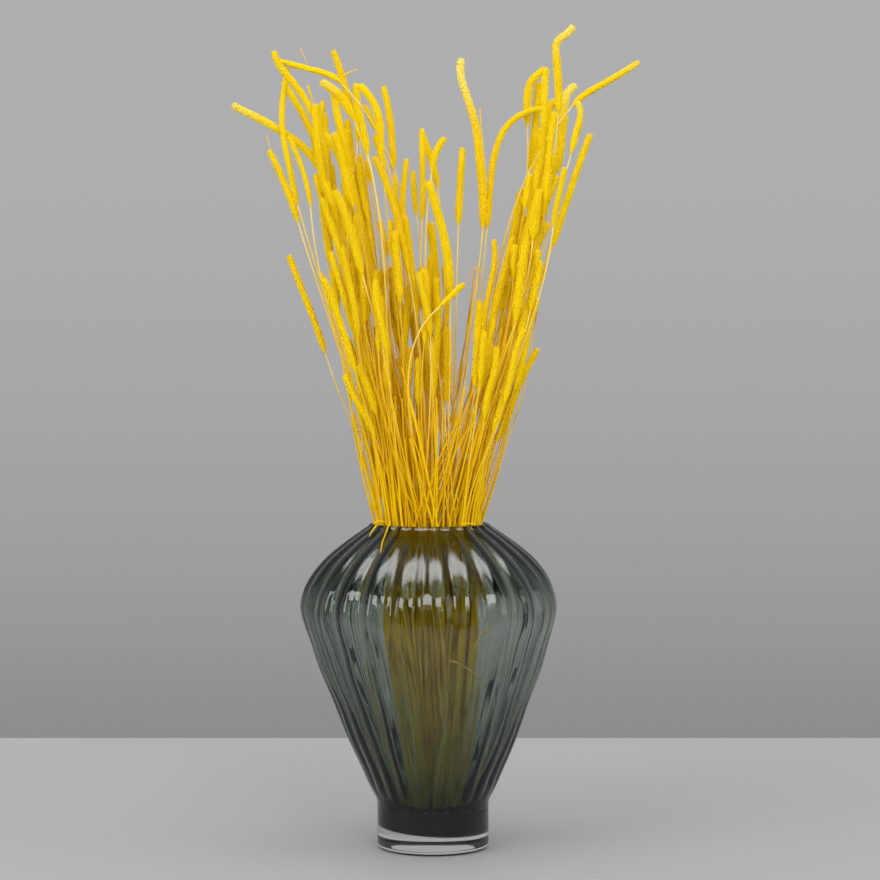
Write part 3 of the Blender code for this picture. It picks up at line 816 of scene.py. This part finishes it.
def tilt_seam(mesh):
    """Let the seam fall to the right and rise to the back, less and less up the bowl."""
    for vertex in mesh.vertices:
        x, y, z = vertex.co / MM
        share = 1.0 - min(max((z - SEAM_FADE[0]) / (SEAM_FADE[1] - SEAM_FADE[0]), 0.0), 1.0)
        vertex.co.z += (SEAM_RISE_BACK * y - SEAM_FALL_RIGHT * x) / FOOT_RADIUS * share * MM


def paint_ring_shade(mesh, slot):
    """Give the ring that the vase stands on its own near-black material, a painted shade, out to the rounded
    edge.
    """
    for face in mesh.polygons:
        x, y, z = face.center / MM
        angle = math.atan2(y, x)
        inner_edge = HOLLOW_RADIUS + sum(size * math.sin(n * angle + start) for n, size, start in RING_WAVES)
        if z < HOLLOW_HEIGHT + 0.01 and inner_edge < math.hypot(x, y) < STANDING_RADIUS + 0.5:
            face.material_index = slot


def build_vase(glass, colour, ring):
    """The whole vase in clear glass, and inside it the body that holds the smoke colour."""
    skin = revolve(glass_rings(), "vase_glass", glass)
    # the ring it stands on is painted near black: painted shade
    skin.data.materials.append(ring)
    paint_ring_shade(skin.data, 1)
    smoke = revolve(smoke_rings(), "vase_smoke_colour", colour)
    tilt_seam(smoke.data)
    for obj in (skin, smoke):
        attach(obj, "root")
    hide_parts("vase_bowl", "vase_foot")
    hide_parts("vase_bowl")


# ---- materials ---------------------------------------------------------------------------------
CLEAR_GLASS = {"Base Color": (1.0, 1.0, 1.0, 1.0), "Roughness": 0.0, "Transmission Weight": 1.0}
SMOKE_TINT, SMOKE_DENSITY = (0.17, 0.29, 0.17, 1.0), 180.0
# painted shade: the ring under the vase is near black and opaque, standing in for the shadow under the vase
# seen through the foot
RING_PAINTED_SHADE = (0.009, 0.013, 0.015)
TABLE_COLOUR = (0.332, 0.334, 0.338)
JOINT_COLOUR = (0.23, 0.10, 0.015, 1.0)
STRAW_INPUTS = [("Deep", "Color"), ("Plain", "Color"), ("Pale", "Color"), ("Fibre Scale", "Float")]
STEM_STRAW = {
    "Deep": (0.69, 0.37, 0.0, 1.0), "Plain": (0.87, 0.58, 0.002, 1.0), "Pale": (0.96, 0.80, 0.30, 1.0),
    "Fibre Scale": 900.0,
}
SPIKE_STRAW = {
    "Deep": (0.86, 0.56, 0.0, 1.0), "Plain": (0.94, 0.70, 0.0, 1.0), "Pale": (0.98, 0.82, 0.2, 1.0),
    "Fibre Scale": 1500.0,
}


def feed(tree, value, socket):
    """Link another node's socket to this one, or set it to a number or a colour."""
    if isinstance(value, bpy.types.NodeSocket):
        tree.links.new(value, socket)
    else:
        socket.default_value = value


def arithmetic(tree, operation, *values, clamped=False):
    node = tree.nodes.new("ShaderNodeMath")
    node.operation = operation
    node.use_clamp = clamped
    for socket, value in zip(node.inputs, values):
        feed(tree, value, socket)
    return node.outputs[0]


def blend(tree, share, first, second):
    """From the first colour to the second as the share goes from 0 to 1."""
    node = tree.nodes.new("ShaderNodeMix")
    node.data_type = "RGBA"
    for name, value in (("Factor", share), ("A", first), ("B", second)):
        feed(tree, value, node.inputs[name])
    return node.outputs["Result"]


def noise(tree, place, scale, detail):
    node = tree.nodes.new("ShaderNodeTexNoise")
    node.inputs["Detail"].default_value = detail
    feed(tree, place, node.inputs["Vector"])
    feed(tree, scale, node.inputs["Scale"])
    return node.outputs["Fac"]


def shaded_material(name, values):
    """A material with one Principled shader set to the values: material, tree, shader, output."""
    material = bpy.data.materials.new(name)
    material.use_nodes = True
    tree = material.node_tree
    tree.nodes.clear()
    output = tree.nodes.new("ShaderNodeOutputMaterial")
    shader = tree.nodes.new("ShaderNodeBsdfPrincipled")
    for socket, value in values.items():
        shader.inputs[socket].default_value = value
    tree.links.new(shader.outputs["BSDF"], output.inputs["Surface"])
    return material, tree, shader, output


def straw_group():
    """Straw colour and fibre relief, shared by stems and spikes.

    Deep, Plain and Pale are the colours from the oldest straw to the palest. The mesh's grain
    tones say how fresh it is (red), how pale (green) and how near a joint (blue); red and green
    also carry painted shade and painted light for some straws and heads.
    """
    group = bpy.data.node_groups.new("straw_colour", "ShaderNodeTree")
    for name, kind in STRAW_INPUTS:
        group.interface.new_socket(name, in_out="INPUT", socket_type="NodeSocket" + kind)
    group.interface.new_socket("Color", in_out="OUTPUT", socket_type="NodeSocketColor")
    group.interface.new_socket("Height", in_out="OUTPUT", socket_type="NodeSocketFloat")
    put_in, put_out = group.nodes.new("NodeGroupInput"), group.nodes.new("NodeGroupOutput")
    grain = group.nodes.new("ShaderNodeAttribute")
    grain.attribute_name = "grain"
    tones = group.nodes.new("ShaderNodeSeparateColor")
    feed(group, grain.outputs["Color"], tones.inputs["Color"])
    fresh, pale, joint = (tones.outputs[name] for name in ("Red", "Green", "Blue"))

    place = group.nodes.new("ShaderNodeTexCoord").outputs["Object"]
    blotches = noise(group, place, 90.0, 3.0)
    stretch = group.nodes.new("ShaderNodeMapping")
    stretch.inputs["Scale"].default_value = (1.0, 1.0, 0.08)
    feed(group, place, stretch.inputs["Vector"])
    fibres = noise(group, stretch.outputs["Vector"], put_in.outputs["Fibre Scale"], 2.0)

    fresh = arithmetic(group, "SUBTRACT", fresh, 0.45)
    age = arithmetic(group, "MULTIPLY_ADD", blotches, 0.9, fresh, clamped=True)
    colour = blend(group, age, put_in.outputs["Deep"], put_in.outputs["Plain"])
    paleness = arithmetic(group, "MULTIPLY", arithmetic(group, "POWER", pale, 2.2), 0.55)
    colour = blend(group, paleness, colour, put_in.outputs["Pale"])
    colour = blend(group, arithmetic(group, "MULTIPLY", joint, 0.5), colour, JOINT_COLOUR)
    feed(group, colour, put_out.inputs["Color"])
    feed(group, fibres, put_out.inputs["Height"])
    return group


def straw_material(name, group, values, roughness, bump):
    """Matt straw in the group's colour, with its fibres as relief."""
    matt = {"Roughness": roughness, "Specular IOR Level": 0.05}
    material, tree, shader, _output = shaded_material(name, matt)
    straw = tree.nodes.new("ShaderNodeGroup")
    straw.node_tree = group
    for socket, value in values.items():
        straw.inputs[socket].default_value = value
    relief = tree.nodes.new("ShaderNodeBump")
    relief.inputs["Strength"].default_value = bump
    relief.inputs["Distance"].default_value = 0.0004
    feed(tree, straw.outputs["Height"], relief.inputs["Height"])
    feed(tree, straw.outputs["Color"], shader.inputs["Base Color"])
    feed(tree, relief.outputs["Normal"], shader.inputs["Normal"])
    return material


def clear_glass():
    return shaded_material("vase_glass_skin", {**CLEAR_GLASS, "IOR": 1.5})[0]


def smoke_colour():
    """Glass that doesn't bend light, since the skin round it does, and only takes colour out of it."""
    material, tree, _shader, output = shaded_material("smoked_glass_colour", {**CLEAR_GLASS, "IOR": 1.0})
    tint = tree.nodes.new("ShaderNodeVolumeAbsorption")
    tint.inputs["Color"].default_value = SMOKE_TINT
    tint.inputs["Density"].default_value = SMOKE_DENSITY
    tree.links.new(tint.outputs["Volume"], output.inputs["Volume"])
    return material


def plain_material(name, colour, roughness, shine):
    values = {"Base Color": (*colour, 1.0), "Roughness": roughness, "Specular IOR Level": shine}
    return shaded_material(name, values)[0]


# ---- stage, in metres --------------------------------------------------------------------------
TABLE_FRONT, TABLE_BACK, TABLE_HALF_WIDTH, TABLE_THICKNESS = -0.5, 0.626, 3.2, 0.03
TABLE_GAP = 0.0004
CAMERA_PLACE, CAMERA_DIP, CAMERA_LENS = (0.0058, -2.28, 0.423), 2.1, 112.4

FILL_COLOUR, FILL_LEVEL = (0.55, 0.56, 0.58, 1.0), 0.54
# grey of the wall from below the table's edge up to the ceiling, by 0.5 + half the sine of elevation
WALL_GREYS = [
    (0.431, 0.266), (0.4455, 0.307), (0.467, 0.352), (0.489, 0.386), (0.525, 0.42), (0.565, 0.43),
    (0.6, 0.62), (0.8, 3.2),
]
# grey that the glass mirrors, from in front of the vase to behind it
ROOM_FRONT_TO_BACK, ROOM_GREYS = (-0.35, 0.45), (0.045, 0.37)
# the lamp panel on the ceiling that the glass mirrors: where each of its edges fades
PANEL_LEVEL = 6.5
PANEL_LEFT, PANEL_RIGHT = (-0.62, -0.42), (0.34, 0.5)
PANEL_FRONT, PANEL_BACK, PANEL_LOW = (-0.45, -0.28), (-0.05, 0.18), (0.5, 0.7)

MIDDLE = (0.0, 0.0, 0.2)
# name, place, aim, width, height, watts, colour, and whether the glass mirrors it. The overhead
# lamps aim a hair off plumb, so that their long side runs from front to back.
LAMPS = [
    ("overhead_cool", (-0.6, -0.47, 2.0), (-0.6, -0.469, 0.0), 0.8, 2.05, 3.8, (0.95, 0.98, 1.0), True),
    ("overhead_warm", (0.55, -0.47, 2.0), (0.55, -0.469, 0.0), 0.75, 2.05, 3.8, (1.0, 0.99, 0.97), True),
    ("square_lamp_left", (-1.34, -1.59, 1.4), MIDDLE, 1.0, 0.6, 14.0, (1.0, 1.0, 1.0), True),
    ("square_lamp_right", (0.54, -2.0, 1.4), MIDDLE, 1.0, 0.6, 14.0, (1.0, 1.0, 1.0), True),
    ("front_fill", (0.0, -2.9, 0.5), MIDDLE, 2.6, 1.8, 21.0, (1.0, 0.99, 0.97), False),
    ("left_window", (-2.2, -0.9, 0.9), MIDDLE, 0.4, 1.4, 9.0, (0.85, 0.93, 1.0), True),
    ("right_panel", (2.4, -0.7, 0.8), MIDDLE, 1.4, 1.5, 9.0, (1.0, 1.0, 1.0), True),
]


def build_table(material):
    """A plain table top with its front and back edges in the room."""
    corners = [
        (x, y, z)
        for z in (-TABLE_THICKNESS, 0.0)
        for x, y in (
            (-TABLE_HALF_WIDTH, TABLE_FRONT), (TABLE_HALF_WIDTH, TABLE_FRONT),
            (TABLE_HALF_WIDTH, TABLE_BACK), (-TABLE_HALF_WIDTH, TABLE_BACK),
        )
    ]
    faces = [(3, 2, 1, 0), (4, 5, 6, 7), (0, 1, 5, 4), (1, 2, 6, 5), (2, 3, 7, 6), (3, 0, 4, 7)]
    mesh = bpy.data.meshes.new("table_top")
    mesh.from_pydata(corners, [], faces)
    mesh.materials.append(material)
    obj = show("table_top", mesh)
    obj.location.z = -TABLE_GAP


def wall_colour(tree, height):
    """The wall's soft gradient, by the height of the direction looked in."""
    node = tree.nodes.new("ShaderNodeValToRGB")
    elements = node.color_ramp.elements
    while len(elements) < len(WALL_GREYS):
        elements.new(0.5)
    for element, (at, grey) in zip(elements, WALL_GREYS):
        element.position = at
        element.color = (grey, grey, grey * 1.004, 1.0)
    feed(tree, arithmetic(tree, "MULTIPLY_ADD", height, 0.5, 0.5), node.inputs["Fac"])
    return node.outputs["Color"]


def build_world():
    """A pale wall to look at, a plain grey that fills the shade, and the room that the glass mirrors."""
    world = bpy.data.worlds.new("studio")
    bpy.context.scene.world = world
    world.use_nodes = True
    tree = world.node_tree
    tree.nodes.clear()
    direction = tree.nodes.new("ShaderNodeSeparateXYZ")
    feed(tree, tree.nodes.new("ShaderNodeTexCoord").outputs["Generated"], direction.inputs["Vector"])

    def between(axis, edge, first, last):
        """A value that goes smoothly from first to last over an edge across the axis."""
        step = tree.nodes.new("ShaderNodeMapRange")
        step.interpolation_type = "SMOOTHSTEP"
        for name, value in zip(("From Min", "From Max", "To Min", "To Max"), (*edge, first, last)):
            step.inputs[name].default_value = value
        feed(tree, direction.outputs[axis], step.inputs["Value"])
        return step.outputs["Result"]

    def background(colour, strength=1.0):
        node = tree.nodes.new("ShaderNodeBackground")
        feed(tree, colour, node.inputs["Color"])
        node.inputs["Strength"].default_value = strength
        return node.outputs["Background"]

    def chosen(by, otherwise, shown):
        node = tree.nodes.new("ShaderNodeMixShader")
        for socket, value in zip(node.inputs, (path.outputs[by], otherwise, shown)):
            tree.links.new(value, socket)
        return node.outputs["Shader"]

    panel = arithmetic(
        tree, "MULTIPLY", between("Y", PANEL_FRONT, 0.0, 1.0), between("Y", PANEL_BACK, PANEL_LEVEL, 0.0)
    )
    panel = arithmetic(tree, "MULTIPLY", panel, between("X", PANEL_LEFT, 0.0, 1.0))
    panel = arithmetic(tree, "MULTIPLY", panel, between("X", PANEL_RIGHT, 1.0, 0.0))
    room = between("Y", ROOM_FRONT_TO_BACK, *ROOM_GREYS)
    mirrored = arithmetic(tree, "MULTIPLY_ADD", panel, between("Z", PANEL_LOW, 0.0, 1.0), room)
    path = tree.nodes.new("ShaderNodeLightPath")
    seen = background(wall_colour(tree, direction.outputs["Z"]))
    seen_or_mirrored = chosen("Is Glossy Ray", seen, background(mirrored))
    whole = chosen("Is Diffuse Ray", seen_or_mirrored, background(FILL_COLOUR, FILL_LEVEL))
    output = tree.nodes.new("ShaderNodeOutputWorld")
    tree.links.new(whole, output.inputs["Surface"])


def build_lamp(name, place, aim, width, height, watts, colour, mirrored):
    """A rectangular lamp that the camera itself doesn't see."""
    lamp = bpy.data.lights.new(name, "AREA")
    lamp.shape = "RECTANGLE"
    lamp.size, lamp.size_y = width, height
    lamp.energy = watts
    lamp.color = colour
    obj = show(name, lamp)
    obj.location = place
    obj.rotation_euler = (Vector(aim) - Vector(place)).to_track_quat("-Z", "Y").to_euler()
    obj.visible_camera = False
    obj.visible_glossy = mirrored


def build_camera():
    data = bpy.data.cameras.new("camera")
    data.sensor_width = 36.0
    data.lens = CAMERA_LENS
    obj = show("camera", data)
    obj.location = CAMERA_PLACE
    obj.rotation_euler = (math.radians(90.0 - CAMERA_DIP), 0.0, 0.0)
    bpy.context.scene.camera = obj


def main():
    bpy.context.scene.view_settings.view_transform = "Standard"
    straw = straw_group()
    stem_material = straw_material("straw_stem", straw, STEM_STRAW, roughness=0.8, bump=0.3)
    spike_material = straw_material("timothy_spike", straw, SPIKE_STRAW, roughness=0.9, bump=0.1)
    build_grass(lay_out(), stem_material, spike_material)
    # the standing ring's near-black colour is a painted shade
    ring = plain_material("standing_ring_painted_shade", RING_PAINTED_SHADE, roughness=0.5, shine=0.15)
    build_vase(clear_glass(), smoke_colour(), ring)
    build_table(plain_material("pale_table", TABLE_COLOUR, roughness=0.55, shine=0.5))
    build_world()
    for lamp in LAMPS:
        build_lamp(*lamp)
    build_camera()


main()
